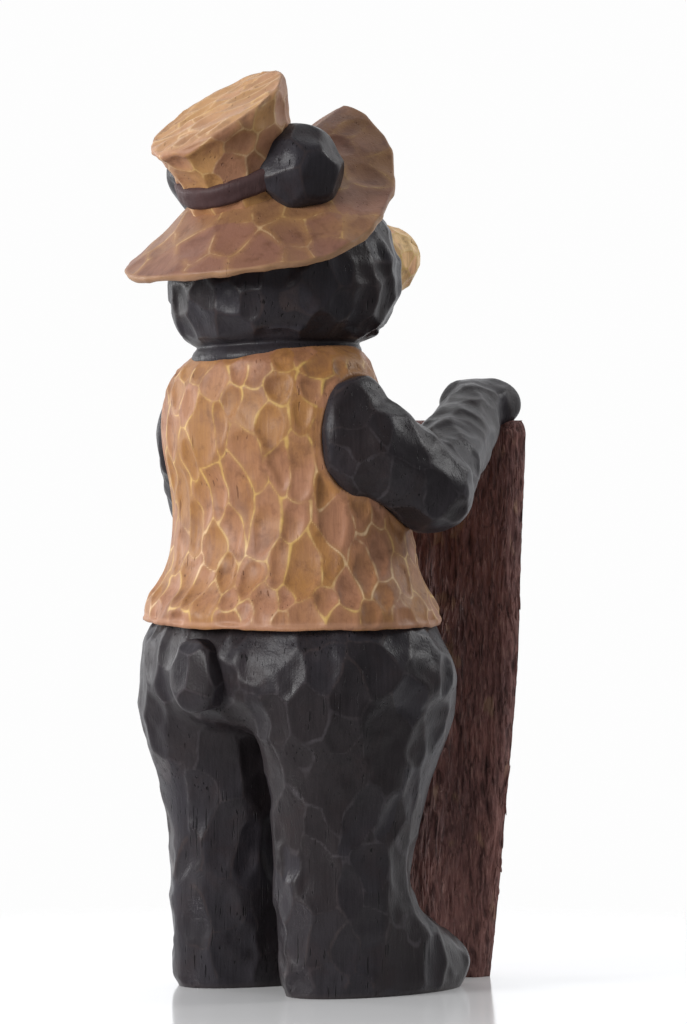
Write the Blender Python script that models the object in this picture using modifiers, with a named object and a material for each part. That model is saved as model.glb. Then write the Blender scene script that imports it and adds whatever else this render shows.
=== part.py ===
"""Carved bear statue in a hat and a vest, standing with one paw on a bark board.

The bear looks toward -Y and its right side is -X. It is laid out round its own upright axis, and
at the end everything is moved so that the origin is on the floor under the middle of its box.
"""

import math

import bpy
import numpy as np

# Driving sizes, in metres
figure_height = 0.92
board_height = 0.568
board_top_width = 0.160
board_foot_width = 0.120
board_thickness = 0.040
board_edge_thickness = 0.016
board_lean = 0.033
board_corner_radius = 0.012
toe_to_board_gap = 0.029
seat_clearance = 0.0003
brim_thickness = 0.009
tail_projection = 0.015
eye_radius = 0.009

# The figure is laid out on a grid of 920 shares of its own height
share = figure_height / 920.0

# Height, centre back, half width and half depth of the hips
hips_sections = [
    (234, 0, 56, 66),
    (246, 0, 110, 98),
    (262, 0, 148, 117),
    (282, 0, 165, 127),
    (306, 0, 177, 134),
    (334, 3, 176, 131),
    (358, 4, 166, 123),
    (400, 6, 138, 104),
]

# Height, centre to the side, centre back, half width and half depth of one leg with its foot
leg_sections = [
    (0, 76, -33, 55, 106),
    (12, 76, -35, 61, 114),
    (30, 76, -35, 62, 116),
    (47, 76, -26, 62, 108),
    (68, 76, -9, 61, 93),
    (92, 76, 7, 60, 77),
    (118, 76, 10, 60, 73),
    (150, 76, 7, 62, 77),
    (182, 77, 3, 66, 84),
    (212, 78, 1, 70, 92),
    (250, 81, 0, 76, 106),
    (290, 84, 0, 81, 113),
    (330, 80, 2, 76, 108),
]

# Height, centre back, half width and half depth of the vest, from hem to collar
vest_sections = [
    (366, 7, 162, 130),
    (374, 8, 164, 132),
    (404, 7, 149, 116),
    (434, 5, 138, 106),
    (464, 5, 134, 103),
    (500, 8, 135, 103),
    (546, 17, 136, 104),
    (577, 25, 134, 100),
    (603, 33, 122, 90),
    (620, 33, 107, 80),
    (631, 31, 91, 70),
]

# Height, centre back, half width and half depth of the head with its neck
head_sections = [
    (600, 30, 70, 66),
    (624, 28, 84, 80),
    (634, 26, 88, 84),
    (640, 25, 87, 84),
    (650, 22, 98, 94),
    (668, 19, 108, 104),
    (688, 17, 115, 111),
    (710, 15, 117, 114),
    (734, 15, 114, 111),
    (758, 15, 105, 102),
    (782, 15, 84, 82),
    (802, 15, 54, 53),
    (810, 15, 30, 29),
]

# Distance forward, centre height, half width and half height of the muzzle
muzzle_sections = [
    (50, 713, 50, 44),
    (80, 718, 49, 43),
    (106, 721, 46, 40),
    (127, 723, 41, 36),
    (143, 724, 33, 29),
    (153, 724, 22, 19),
    (157, 724, 10, 9),
]

# Height over the hat's seat and radius of the crown
crown_profile = [(-56, 52), (-20, 62), (0, 65), (22, 64), (44, 68), (62, 73), (76, 78)]
band_profile = [(1, 67), (4, 69), (20, 68), (22, 66)]

# Turn from the back toward a side in degrees, reach and rise of the brim's rim
brim_rim = [(0, 145, -38), (45, 149, -46), (90, 144, -68), (135, 137, -57), (158, 151, -21), (180, 156, 8)]

# Share of the board's height, and share reached there of its growth from foot width to top width
board_growth = [(0, 0), (0.09, 0.25), (0.29, 0.62), (0.44, 0.9), (0.57, 1.08), (0.72, 1.02), (1, 1)]

head_centre = np.array([0.0, 15.0, 708.0]) * share
hat_tilt = math.radians(29.0)
hat_seat_height = 112 * share
brim_inner_radius = 50 * share
crown_top_slope_back = 0.09
crown_top_slope_left = 0.14
ear_radius = 45 * share
ear_side = 66 * share
ear_back = -14 * share
ear_rise = 5 * share

shoulder_side = 112 * share
shoulder_back = 21 * share
shoulder_height = 546 * share
shoulder_radii = np.array([34.0, 54.0, 66.0]) * share
upper_arm_radius = 44 * share
right_elbow = np.array([-139.0, -45.0, 501.0]) * share
left_elbow = np.array([150.0, -28.0, 488.0]) * share
elbow_radius = 43 * share
forearm_radius = 38 * share
wrist_radius = 31 * share
paw_radii = np.array([31.0, 43.0, 27.0]) * share
right_paw_side = 40 * share
left_grip_height = 462 * share
left_paw_outside = 10 * share
wrist_short_of_paw = 0.14
right_paw_overhang = 0.2
right_paw_lift = 0.68
tail_height = 310 * share
tail_radii = np.array([25.0, 1.0, 37.0]) * share
nose_centre = np.array([0.0, -152.0, 739.0]) * share
nose_radii = np.array([17.0, 10.0, 12.0]) * share
eye_side = 38 * share
eye_height = 762 * share
eye_seat_radius = 115 * share

# Shares of a round end that are cut off flat, so that its last ring isn't a point
limb_end_cut = 0.02
ball_end_cut = 0.06

# Places that follow from the sizes above
foot_section = leg_sections[2]
toe_front = (foot_section[2] - foot_section[4]) * share
board_foot_front = toe_front - toe_to_board_gap - board_thickness
board_top_front = board_foot_front - board_lean

tan_wood = ("tan_wood", (0.33, 0.17, 0.075), 0.6)
black_wood = ("black_wood", (0.035, 0.031, 0.033), 0.5)
band_brown = ("band_brown", (0.075, 0.04, 0.042), 0.55)
muzzle_ochre = ("muzzle_ochre", (0.45, 0.26, 0.12), 0.6)
nose_black = ("nose_black", (0.02, 0.018, 0.018), 0.3)
bark_brown = ("bark_brown", (0.085, 0.04, 0.034), 0.85)


def clear_scene():
    for item in list(bpy.data.objects):
        bpy.data.objects.remove(item, do_unlink=True)


def make_collection(name):
    group = bpy.data.collections.new(name)
    bpy.context.scene.collection.children.link(group)
    return group


def make_material(look):
    name, colour, roughness = look
    material = bpy.data.materials.get(name)
    if material is None:
        material = bpy.data.materials.new(name)
        material.use_nodes = True
        shader = material.node_tree.nodes["Principled BSDF"]
        shader.inputs["Base Color"].default_value = (*colour, 1.0)
        shader.inputs["Roughness"].default_value = roughness
        shader.inputs["Metallic"].default_value = 0.0
    return material


def smooth_through(keys, table, positions):
    """Values of each column of the table at the positions, on a soft curve through the keys."""
    keys = np.asarray(keys, float)
    table = np.asarray(table, float)
    slopes = np.gradient(table, keys, axis=0)
    positions = np.clip(positions, keys[0], keys[-1])
    index = np.clip(np.searchsorted(keys, positions, side="right") - 1, 0, len(keys) - 2)
    step = (keys[index + 1] - keys[index])[..., None]
    t = (positions - keys[index])[..., None] / step
    near = (2 * t**3 - 3 * t**2 + 1) * table[index] + (t**3 - 2 * t**2 + t) * step * slopes[index]
    far = (3 * t**2 - 2 * t**3) * table[index + 1] + (t**3 - t**2) * step * slopes[index + 1]
    return near + far


def evenly_along(sections):
    """The sections as a function of the share of the way along their outline."""
    table = np.asarray(sections, float)
    keys = np.concatenate([[0], np.cumsum(np.linalg.norm(np.diff(table, axis=0), axis=1))])
    return lambda along: smooth_through(keys, table, np.asarray(along) * keys[-1])


def upright_form(sections, side=0.0):
    """A form of level oval sections: height, centre back, half width and half depth."""
    track = evenly_along([row if len(row) == 5 else (row[0], 0, *row[1:]) for row in sections])

    def surface(along, angle):
        height, apart, back, half_width, half_depth = np.moveaxis(track(along), -1, 0)
        x = apart * side + half_width * np.cos(angle)
        y = back + half_depth * np.sin(angle)
        return np.stack([x, y, height], -1) * share

    return surface


def forward_form(sections):
    """A form of upright oval sections: distance forward, centre height, half width and height."""
    track = evenly_along(sections)

    def surface(along, angle):
        forward, height, half_width, half_height = np.moveaxis(track(along), -1, 0)
        x = half_width * np.cos(angle)
        z = height + half_height * np.sin(angle)
        return np.stack([x, -forward, z], -1) * share

    return surface


def limb_form(start, end, start_radius, end_radius):
    """A limb with round ends, between two points."""
    axis = end - start
    length = np.linalg.norm(axis)
    axis = axis / length
    side = np.cross(axis, [0.0, 0.0, 1.0])
    side = side / np.linalg.norm(side)
    other = np.cross(axis, side)
    angles = np.linspace(-math.pi / 2, math.pi / 2, 25)
    outline = np.array(
        [(start_radius * math.sin(a), start_radius * math.cos(a)) for a in angles[:13]]
        + [(length + end_radius * math.sin(a), end_radius * math.cos(a)) for a in angles[12:]]
    )
    track = evenly_along(outline)

    def surface(along, angle):
        inner = limb_end_cut + (1 - 2 * limb_end_cut) * np.asarray(along)
        reach, radius = np.moveaxis(track(inner), -1, 0)
        ring = np.cos(angle)[..., None] * side + np.sin(angle)[..., None] * other
        return start + reach[..., None] * axis + radius[..., None] * ring

    return surface


def ball_form(centre, radii, turn=0.0):
    """A ball with three radii, turned about the upright axis."""
    radii = np.asarray(radii, float)

    def surface(along, angle):
        polar = math.pi * (ball_end_cut + (1 - 2 * ball_end_cut) * np.asarray(along))
        x = radii[0] * np.sin(polar) * np.cos(angle)
        y = radii[1] * np.sin(polar) * np.sin(angle)
        z = -radii[2] * np.cos(polar)
        turned_x = x * math.cos(turn) - y * math.sin(turn)
        turned_y = x * math.sin(turn) + y * math.cos(turn)
        return centre + np.stack([turned_x, turned_y, z], -1)

    return surface


hat_axis = np.array([0.0, math.sin(hat_tilt), math.cos(hat_tilt)])
hat_back = np.array([0.0, math.cos(hat_tilt), -math.sin(hat_tilt)])
hat_left = np.array([1.0, 0.0, 0.0])
hat_seat = head_centre + hat_axis * hat_seat_height


def hat_point(left, back, rise):
    return hat_seat + left[..., None] * hat_left + back[..., None] * hat_back + rise[..., None] * hat_axis


def crown_form(profile, slope_share):
    """A turned form on the hat's axis, whose top slopes."""
    track = evenly_along(profile)
    top = profile[-1][0] * share

    def surface(along, angle):
        rise, radius = np.moveaxis(track(along) * share, -1, 0)
        left = radius * np.cos(angle)
        back = radius * np.sin(angle)
        slope = slope_share * np.clip(rise / top, 0, 1) ** 2
        rise = rise - slope * (crown_top_slope_left * left + crown_top_slope_back * back)
        return hat_point(left, back, rise)

    return surface


def brim_surface(along, angle):
    """The brim's upper side, from the crown out to the rim."""
    turns = [row[0] for row in brim_rim]
    keys = [-turns[1]] + turns + [360 - turns[-2]]
    table = [brim_rim[1][1:]] + [row[1:] for row in brim_rim] + [brim_rim[-2][1:]]
    turn = np.degrees(np.abs((angle + math.pi) % (2 * math.pi) - math.pi))
    reach, drop = np.moveaxis(smooth_through(keys, table, turn) * share, -1, 0)
    radius = brim_inner_radius + (reach - brim_inner_radius) * along
    rise = drop * along**0.85
    return hat_point(-radius * np.sin(angle), radius * np.cos(angle), rise)


def board_half_width(along):
    """Half the board's width, which is fullest a little above the middle."""
    keys = [row[0] for row in board_growth]
    growth = smooth_through(keys, [row[1:] for row in board_growth], np.asarray(along))[..., 0]
    return (board_foot_width + (board_top_width - board_foot_width) * growth) / 2


def board_surface(along, angle):
    """A split log: flat in front, round at the back, drawn in at its top corners."""
    height = board_height * along
    soft_end = np.clip((height - board_height + board_corner_radius) / board_corner_radius, 0, 1)
    shrink = board_corner_radius * 0.6 * (1 - np.sqrt(1 - 0.96 * soft_end**2))
    half_width = board_half_width(along) - shrink
    front = board_foot_front + (board_top_front - board_foot_front) * along
    round_side = np.clip(np.sin(angle), 0, 1)
    swell = (board_thickness - board_edge_thickness) * round_side**1.6
    edge = board_edge_thickness * np.minimum(1, round_side * 4.0) ** 0.5
    x = half_width * np.cos(angle)
    return np.stack([x, front + edge + swell - shrink * (round_side > 0.01), height], -1)


def lattice_places(rows, sides, uneven, seed):
    """Places on a staggered lattice, moved about a little, and which of them are cut centres."""
    chance = np.random.default_rng(seed)
    row, column = np.meshgrid(np.arange(rows + 1), np.arange(sides), indexing="ij")
    inner = (row > 0) & (row < rows)
    along = (row + uneven * (chance.random(row.shape) - 0.5) * inner) / rows
    turn = (column + 0.5 * (row % 2) + uneven * (chance.random(row.shape) - 0.5)) / sides
    centres = ((column - (row - row % 2) // 2 - row) % 3 == 0) & inner
    return along, turn * 2 * math.pi, centres


def neighbours(row, column, sides):
    shift = row % 2
    beside = [(row, column - 1), (row, column + 1)]
    above = [(row + 1, column - 1 + shift), (row + 1, column + shift)]
    below = [(row - 1, column - 1 + shift), (row - 1, column + shift)]
    return [(r, c % sides) for r, c in beside + above + below]


def cut_centres(points, centres, scoop):
    """Lowers each cut's middle to the mean of its six corners and then by the scoop's depth."""
    carved = points.copy()
    sides = points.shape[1]
    around = np.roll(points, -1, axis=1) - np.roll(points, 1, axis=1)
    along = np.gradient(points, axis=0)
    outward = np.cross(around, along)
    outward /= np.maximum(np.linalg.norm(outward, axis=-1, keepdims=True), 1e-12)
    for row, column in zip(*np.nonzero(centres)):
        corners = [points[place] for place in neighbours(row, column, sides)]
        carved[row, column] = np.mean(corners, axis=0) - outward[row, column] * scoop
    return carved


def lattice_faces(rows, sides):
    faces = []
    for row in range(rows):
        for column in range(sides):
            here = row * sides + column
            beside = row * sides + (column + 1) % sides
            upper = (row + 1) * sides
            if row % 2 == 0:
                faces.append((here, beside, upper + column))
                faces.append((beside, upper + (column + 1) % sides, upper + column))
            else:
                faces.append((here, upper + (column + 1) % sides, upper + column))
                faces.append((here, beside, upper + (column + 1) % sides))
    return faces


def add_object(name, vertices, faces, look, group):
    mesh = bpy.data.meshes.new(name)
    mesh.from_pydata([tuple(vertex) for vertex in vertices], [], faces)
    mesh.materials.append(make_material(look))
    mesh.validate()
    item = bpy.data.objects.new(name, mesh)
    group.objects.link(item)
    return item


def carved_solid(name, surface, rows, sides, look, group, scoop=0.0, uneven=0.5, seed=1, flip=False):
    """A closed form covered with knife cuts: a lattice of six-sided cuts between two flat ends."""
    along, angle, centres = lattice_places(rows, sides, uneven, seed)
    points = surface(along, angle)
    points = cut_centres(points, centres, -scoop if flip else scoop)
    faces = lattice_faces(rows, sides)
    faces.append(tuple(range(sides))[::-1])
    faces.append(tuple(rows * sides + column for column in range(sides)))
    if flip:
        faces = [face[::-1] for face in faces]
    return add_object(name, points.reshape(-1, 3), faces, look, group)


def carved_sheet(name, surface, rows, sides, look, group, scoop=0.0, uneven=0.5, seed=1):
    """An open ring of knife cuts."""
    along, angle, centres = lattice_places(rows, sides, uneven, seed)
    points = cut_centres(surface(along, angle), centres, scoop)
    return add_object(name, points.reshape(-1, 3), lattice_faces(rows, sides), look, group)


def union_with(target, tool):
    joined = target.modifiers.new("join_" + tool.name, "BOOLEAN")
    joined.operation = "UNION"
    joined.solver = "EXACT"
    joined.object = tool
    joined.material_mode = "TRANSFER"
    tool.hide_render = True
    tool.display_type = "WIRE"


def cut_with(target, tool):
    cut = target.modifiers.new("cut_" + tool.name, "BOOLEAN")
    cut.operation = "DIFFERENCE"
    cut.solver = "EXACT"
    cut.object = tool
    tool.hide_render = True
    tool.display_type = "WIRE"


def add_hat(group):
    crown = carved_solid("crown", crown_form(crown_profile, 1.0), 8, 27, tan_wood, group, 0.002, 0.4, 3)
    band = carved_solid("band", crown_form(band_profile, 0.0), 3, 24, band_brown, group, 0.0, 0.0, 4)
    brim = carved_sheet("brim", brim_surface, 4, 36, tan_wood, group, 0.001, 0.4, 5)
    thick = brim.modifiers.new("thickness", "SOLIDIFY")
    thick.thickness = brim_thickness
    thick.offset = 1.0
    return [crown, band, brim]


def add_face(group):
    muzzle = forward_form(muzzle_sections)
    pieces = [carved_solid("muzzle", muzzle, 7, 15, muzzle_ochre, group, 0.001, 0.4, 6)]
    pieces.append(carved_solid("nose", ball_form(nose_centre, nose_radii), 5, 9, nose_black, group))
    for label, side in (("right", -1), ("left", 1)):
        across = eye_side * side
        rise = eye_height - head_centre[2]
        depth = math.sqrt(eye_seat_radius**2 - eye_side**2 - rise**2)
        centre = np.array([across, head_centre[1] - depth, eye_height])
        radii = [eye_radius] * 3
        pieces.append(carved_solid(label + "_eye", ball_form(centre, radii), 5, 9, nose_black, group))
    return pieces


def add_ears(group):
    pieces = []
    for label, side in (("right", -1), ("left", 1)):
        centre = hat_seat + hat_left * ear_side * side + hat_back * ear_back + hat_axis * ear_rise
        surface = ball_form(centre, [ear_radius] * 3)
        pieces.append(carved_solid(label + "_ear", surface, 8, 15, black_wood, group, 0.0, 0.6, 7))
    return pieces


def board_edge_at(height):
    """The middle of the board's edge and its front, at a height."""
    along = height / board_height
    front = board_foot_front + (board_top_front - board_foot_front) * along
    return board_half_width(along), front


def paw_centres():
    """The right paw lies over the board's top, and the left paw closes round its edge."""
    middle = board_top_front + board_thickness / 2
    right = np.array([-right_paw_side, middle + paw_radii[1] * right_paw_overhang, 0.0])
    right[2] = board_height + paw_radii[2] * right_paw_lift
    half_width, front = board_edge_at(left_grip_height)
    left = np.array([half_width + left_paw_outside, front + board_edge_thickness, left_grip_height])
    return right, left


def add_arms(group):
    right_paw, left_paw = paw_centres()
    pieces = []
    for label, side, elbow, paw, turn in (
        ("right", -1, right_elbow, right_paw, math.radians(-28)),
        ("left", 1, left_elbow, left_paw, math.radians(12)),
    ):
        shoulder = np.array([shoulder_side * side, shoulder_back, shoulder_height])
        cap = ball_form(shoulder, shoulder_radii)
        pieces.append(carved_solid(label + "_shoulder", cap, 8, 15, black_wood, group, 0.0, 0.5, 15))
        wrist = paw + (elbow - paw) * wrist_short_of_paw
        upper = limb_form(shoulder, elbow, upper_arm_radius, elbow_radius)
        fore = limb_form(elbow, wrist, forearm_radius, wrist_radius)
        hand = ball_form(paw, paw_radii, turn)
        pieces.append(carved_solid(label + "_upper_arm", upper, 8, 12, black_wood, group, 0.001, 0.5, 8))
        pieces.append(carved_solid(label + "_forearm", fore, 8, 12, black_wood, group, 0.001, 0.5, 9))
        pieces.append(carved_solid(label + "_paw", hand, 7, 12, black_wood, group, 0.0, 0.5, 10))
    return pieces


def add_tail(group):
    back = smooth_through([row[0] for row in hips_sections], [(row[1] + row[3],) for row in hips_sections],
                          np.array(tail_height / share))[0] * share
    radii = [tail_radii[0], tail_projection * 2, tail_radii[2]]
    surface = ball_form(np.array([0.0, back - tail_projection, tail_height]), radii)
    return [carved_solid("tail", surface, 6, 12, black_wood, group, 0.0, 0.4, 11)]


def add_bear(group, tools):
    bear = carved_solid("bear", upright_form(vest_sections), 11, 51, tan_wood, group, 0.002, 0.5, 1)
    pieces = [carved_solid("hips", upright_form(hips_sections), 9, 33, black_wood, tools, 0.001, 0.5, 2)]
    for label, side in (("right", -1), ("left", 1)):
        leg = upright_form(leg_sections, side)
        pieces.append(carved_solid(label + "_leg", leg, 16, 21, black_wood, tools, 0.001, 0.5, 12))
    head = upright_form(head_sections)
    pieces.append(carved_solid("head", head, 13, 30, black_wood, tools, 0.001, 0.5, 13))
    pieces += add_face(tools) + add_hat(tools) + add_ears(tools) + add_arms(tools) + add_tail(tools)
    for piece in pieces:
        union_with(bear, piece)
    seat = add_board_solid("board_seat", tools, seat_clearance)
    cut_with(bear, seat)
    return bear


def add_board_solid(name, group, grow=0.0):
    board = carved_solid(name, board_surface, 14, 21, bark_brown, group, 0.0, 0.3, 14)
    if grow:
        swell = board.modifiers.new("clearance", "DISPLACE")
        swell.strength = grow
        swell.mid_level = 0.0
    return board


def stand_over_origin(solids):
    """Moves everything so that the middle of the solids' box is over the origin."""
    bpy.context.view_layer.update()
    graph = bpy.context.evaluated_depsgraph_get()
    corners = []
    for solid in solids:
        mesh = solid.evaluated_get(graph).to_mesh()
        corners += [vertex.co[:] for vertex in mesh.vertices]
    corners = np.array(corners)
    middle = (corners.min(axis=0) + corners.max(axis=0)) / 2
    for item in bpy.data.objects:
        item.location.x -= middle[0]
        item.location.y -= middle[1]


def main():
    clear_scene()
    group = make_collection("bear_statue")
    tools = make_collection("cutters")
    board = add_board_solid("bark_board", group)
    bear = add_bear(group, tools)
    stand_over_origin([board, bear])


main()
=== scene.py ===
import itertools
import math

import bpy
import numpy as np
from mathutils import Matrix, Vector


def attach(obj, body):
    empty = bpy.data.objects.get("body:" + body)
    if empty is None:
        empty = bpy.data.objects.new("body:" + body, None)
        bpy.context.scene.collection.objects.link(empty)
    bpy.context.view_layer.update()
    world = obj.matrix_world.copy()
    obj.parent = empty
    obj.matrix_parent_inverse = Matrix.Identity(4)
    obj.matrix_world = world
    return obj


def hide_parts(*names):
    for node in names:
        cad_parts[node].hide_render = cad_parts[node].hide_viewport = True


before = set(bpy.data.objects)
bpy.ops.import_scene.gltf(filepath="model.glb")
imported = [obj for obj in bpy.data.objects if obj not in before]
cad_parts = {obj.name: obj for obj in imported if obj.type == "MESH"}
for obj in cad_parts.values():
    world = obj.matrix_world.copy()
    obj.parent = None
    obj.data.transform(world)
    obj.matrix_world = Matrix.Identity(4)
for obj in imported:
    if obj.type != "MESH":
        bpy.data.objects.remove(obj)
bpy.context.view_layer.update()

# The same layout as the solids: shares of the figure's height, round its own upright axis
share = 0.001
axisShift = np.array([-0.00632, 0.047284, 0.0])  # from that axis to the row's origin

# Each row of hips, vest and head: height, back, half width, half depth
hipsSections = [
    (258, 0, 40, 52), (264, 0, 100, 92), (272, 0, 144, 114), (287, 0, 167, 127), (306, 0, 177, 134),
    (334, 3, 175, 130), (356, 4, 163, 121), (372, 5, 155, 114), (400, 6, 138, 104),
]
legSections = [  # height, apart, back, half width, half depth
    (0, 76, -33, 57, 109), (8, 76, -35, 61, 114), (30, 76, -35, 62, 116), (47, 76, -26, 62, 108),
    (68, 76, -9, 61, 93), (92, 76, 7, 60, 77), (118, 76, 10, 60, 73), (150, 76, 7, 62, 77),
    (182, 77, 3, 66, 84), (212, 78, 1, 70, 92), (250, 81, 0, 76, 106), (290, 84, 0, 81, 113),
    (330, 80, 2, 76, 108),
]
vestSections = [
    (369, 7, 164, 132), (376, 8, 163, 131), (404, 7, 149, 116), (434, 5, 138, 106), (464, 5, 134, 103),
    (500, 8, 135, 103), (546, 17, 136, 104), (577, 25, 132, 97), (603, 34, 120, 85), (620, 33, 107, 80),
    (631, 31, 91, 70),
]
headSections = [
    (604, 30, 62, 58), (618, 29, 79, 75), (626, 28, 85, 81), (633, 27, 87, 83), (639, 26, 85.5, 81.5),
    (643, 25, 83, 79), (648, 24, 89, 85), (656, 21, 100, 96), (668, 19, 108, 104), (688, 17, 115, 111),
    (710, 15, 117, 114), (734, 15, 114, 111), (758, 15, 105, 102), (782, 15, 84, 82), (802, 15, 54, 53),
    (810, 15, 30, 29),
]
muzzleSections = [  # forward, height, half width, half height
    (50, 719, 50, 44), (80, 724, 49, 43), (106, 727, 46, 40), (127, 729, 41, 36), (143, 730, 33, 29),
    (152, 730, 22, 19), (156, 730, 10, 9), (157, 730, 1, 1),
]
# Round the hat's axis: rise, radius
crownProfile = [(-56, 50), (-20, 59), (0, 62), (22, 61), (44, 65), (62, 70.5), (73, 75), (77, 73)]
bandProfile = [(0, 61), (1, 64), (3, 66), (11, 66.6), (20, 65), (22, 63), (23, 59)]
brimRim = [  # turn from the back in degrees, reach, rise
    (-158, 152, -20), (-135, 139, -56), (-90, 144, -65), (-45, 145.4, -43.9), (0, 142.9, -31.8),
    (45, 147.1, -41.7), (65, 144, -56.8), (90, 137, -61.6), (112, 133.8, -58.4), (135, 138, -48),
    (158, 152.9, -22.7), (180, 158.4, 3.8),
]

headCentre = np.array([0.0, 15.0, 708.0]) * share
hatTilt = math.radians(29.0)
hatSeatRise = 112
hatAxis = np.array([0.0, math.sin(hatTilt), math.cos(hatTilt)])
hatBack = np.array([0.0, math.cos(hatTilt), -math.sin(hatTilt)])
hatLeft = np.array([1.0, 0.0, 0.0])
hatSeat = headCentre + hatAxis * hatSeatRise * share

boardHeight = 0.568
boardTopWidth = 0.160
boardFootWidth = 0.120
boardThickness = 0.040
boardEdge = 0.016
boardCorner = 0.012
boardFootFront = -0.220
boardTopFront = -0.253
# How the width grows from the foot to the top: height, growth, both as shares
boardGrowth = [(0, 0), (0.09, 0.25), (0.29, 0.62), (0.44, 0.9), (0.57, 1.08), (0.72, 1.02), (1, 1)]

bothSides = (("Right", -1), ("Left", 1))
pawRadii = np.array([31.0, 43.0, 27.0]) * share
armJoints = {
    "Right": {
        "shoulder": np.array([-120.5, 33.5, 552.0]) * share,
        "shoulderRadii": np.array([28.0, 46.0, 60.0]) * share,
        "begins": 0.16,
        "upper": (0.046, 0.044),
        "elbow": np.array([-144.5, -40.5, 500.0]) * share,
        "paw": np.array([-0.040, boardTopFront + boardThickness / 2 + pawRadii[1] * 0.2,
                         boardHeight + pawRadii[2] * 0.62]),
        "turn": math.radians(-28),
    },
    "Left": {
        "shoulder": np.array([112.0, 21.0, 546.0]) * share,
        "shoulderRadii": np.array([34.0, 54.0, 66.0]) * share,
        "begins": 0.0,
        "upper": (0.044, 0.043),
        "elbow": np.array([150.0, -28.0, 488.0]) * share,
        "paw": np.array([0.090, -0.2308, 0.462]),
        "turn": math.radians(12),
    },
}


def smoothThrough(keys, table, positions):
    # a soft curve through the keys, for each column of the table
    keys = np.asarray(keys, float)
    table = np.asarray(table, float)
    slopes = np.gradient(table, keys, axis=0)
    positions = np.clip(positions, keys[0], keys[-1])
    index = np.clip(np.searchsorted(keys, positions, side="right") - 1, 0, len(keys) - 2)
    step = (keys[index + 1] - keys[index])[..., None]
    t = (positions - keys[index])[..., None] / step
    near = (2 * t**3 - 3 * t**2 + 1) * table[index] + (t**3 - 2 * t**2 + t) * step * slopes[index]
    far = (3 * t**2 - 2 * t**3) * table[index + 1] + (t**3 - t**2) * step * slopes[index + 1]
    return near + far


def evenlyAlong(sections):
    table = np.asarray(sections, float)
    keys = np.concatenate([[0], np.cumsum(np.linalg.norm(np.diff(table, axis=0), axis=1))])
    return lambda along: smoothThrough(keys, table, np.asarray(along) * keys[-1])


def uprightForm(sections, side=0.0):
    track = evenlyAlong([row if len(row) == 5 else (row[0], 0, *row[1:]) for row in sections])

    def surface(along, angle):
        height, apart, back, halfWidth, halfDepth = np.moveaxis(track(along), -1, 0)
        x = apart * side + halfWidth * np.cos(angle)
        y = back + halfDepth * np.sin(angle)
        return np.stack([x, y, height], -1) * share

    return surface


def forwardForm(sections):
    track = evenlyAlong(sections)

    def surface(along, angle):
        forward, height, halfWidth, halfHeight = np.moveaxis(track(along), -1, 0)
        z = height + halfHeight * np.sin(angle)
        return np.stack([halfWidth * np.cos(angle), -forward, z], -1) * share

    return surface


def limbForm(start, end, startRadius, endRadius):
    axis = end - start
    length = np.linalg.norm(axis)
    axis = axis / length
    side = np.cross(axis, [0.0, 0.0, 1.0])
    side = side / np.linalg.norm(side)
    other = np.cross(axis, side)
    angles = np.linspace(-math.pi / 2, math.pi / 2, 25)
    outline = [(startRadius * math.sin(a), startRadius * math.cos(a)) for a in angles[:13]]
    outline += [(length + endRadius * math.sin(a), endRadius * math.cos(a)) for a in angles[12:]]
    track = evenlyAlong(outline)

    def surface(along, angle):
        reach, radius = np.moveaxis(track(0.01 + 0.98 * np.asarray(along)), -1, 0)
        ring = np.cos(angle)[..., None] * side + np.sin(angle)[..., None] * other
        return start + reach[..., None] * axis + radius[..., None] * ring

    return surface


def ballForm(centre, radii, turn=0.0):
    def surface(along, angle):
        polar = math.pi * (0.01 + 0.98 * np.asarray(along))
        x = radii[0] * np.sin(polar) * np.cos(angle)
        y = radii[1] * np.sin(polar) * np.sin(angle)
        z = -radii[2] * np.cos(polar)
        turnedX = x * math.cos(turn) - y * math.sin(turn)
        turnedY = x * math.sin(turn) + y * math.cos(turn)
        return centre + np.stack([turnedX, turnedY, z], -1)

    return surface


def hatPoint(left, back, rise):
    return hatSeat + left[..., None] * hatLeft + back[..., None] * hatBack + rise[..., None] * hatAxis


def softNoise(points, size, seed):
    # smooth noise from -1 to 1, with lumps of the given size
    table = np.random.default_rng(seed).random(8192) * 2 - 1
    place = np.asarray(points) / size + 500.0
    cell = np.floor(place).astype(np.int64)
    t = place - cell
    t = t * t * (3 - 2 * t)
    total = np.zeros(len(place))
    for corner in itertools.product((0, 1), repeat=3):
        c = cell + corner
        key = (c[:, 0] * 73856093 ^ c[:, 1] * 19349663 ^ c[:, 2] * 83492791) % 8192
        total += table[key] * np.prod(np.where(corner, t, 1 - t), axis=1)
    return total


def fadeBetween(values, low, high):
    t = np.clip((np.asarray(values) - low) / (high - low), 0, 1)
    return t * t * (3 - 2 * t)


def ringFaces(rows, sides):
    # the faces between the rings of a closed form, with a cap at each end
    row, column = np.meshgrid(np.arange(rows), np.arange(sides), indexing="ij")
    here = row * sides + column
    beside = row * sides + (column + 1) % sides
    faces = np.stack([here, beside, beside + sides, here + sides], -1).reshape(-1, 4).tolist()
    faces.append(list(range(sides))[::-1])
    faces.append([rows * sides + c for c in range(sides)])
    return faces


def roundTurns(sides):
    return np.arange(sides) * 2 * math.pi / sides


def loft(surface, rows, sides):
    along, angle = np.meshgrid(np.linspace(0, 1, rows + 1), roundTurns(sides), indexing="ij")
    return surface(along, angle).reshape(-1, 3), ringFaces(rows, sides)


def newObject(name, vertices, faces):
    mesh = bpy.data.meshes.new(name)
    mesh.from_pydata(np.asarray(vertices).tolist(), [], faces)
    mesh.shade_smooth()
    item = bpy.data.objects.new(name, mesh)
    bpy.context.scene.collection.objects.link(item)
    return item


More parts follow.
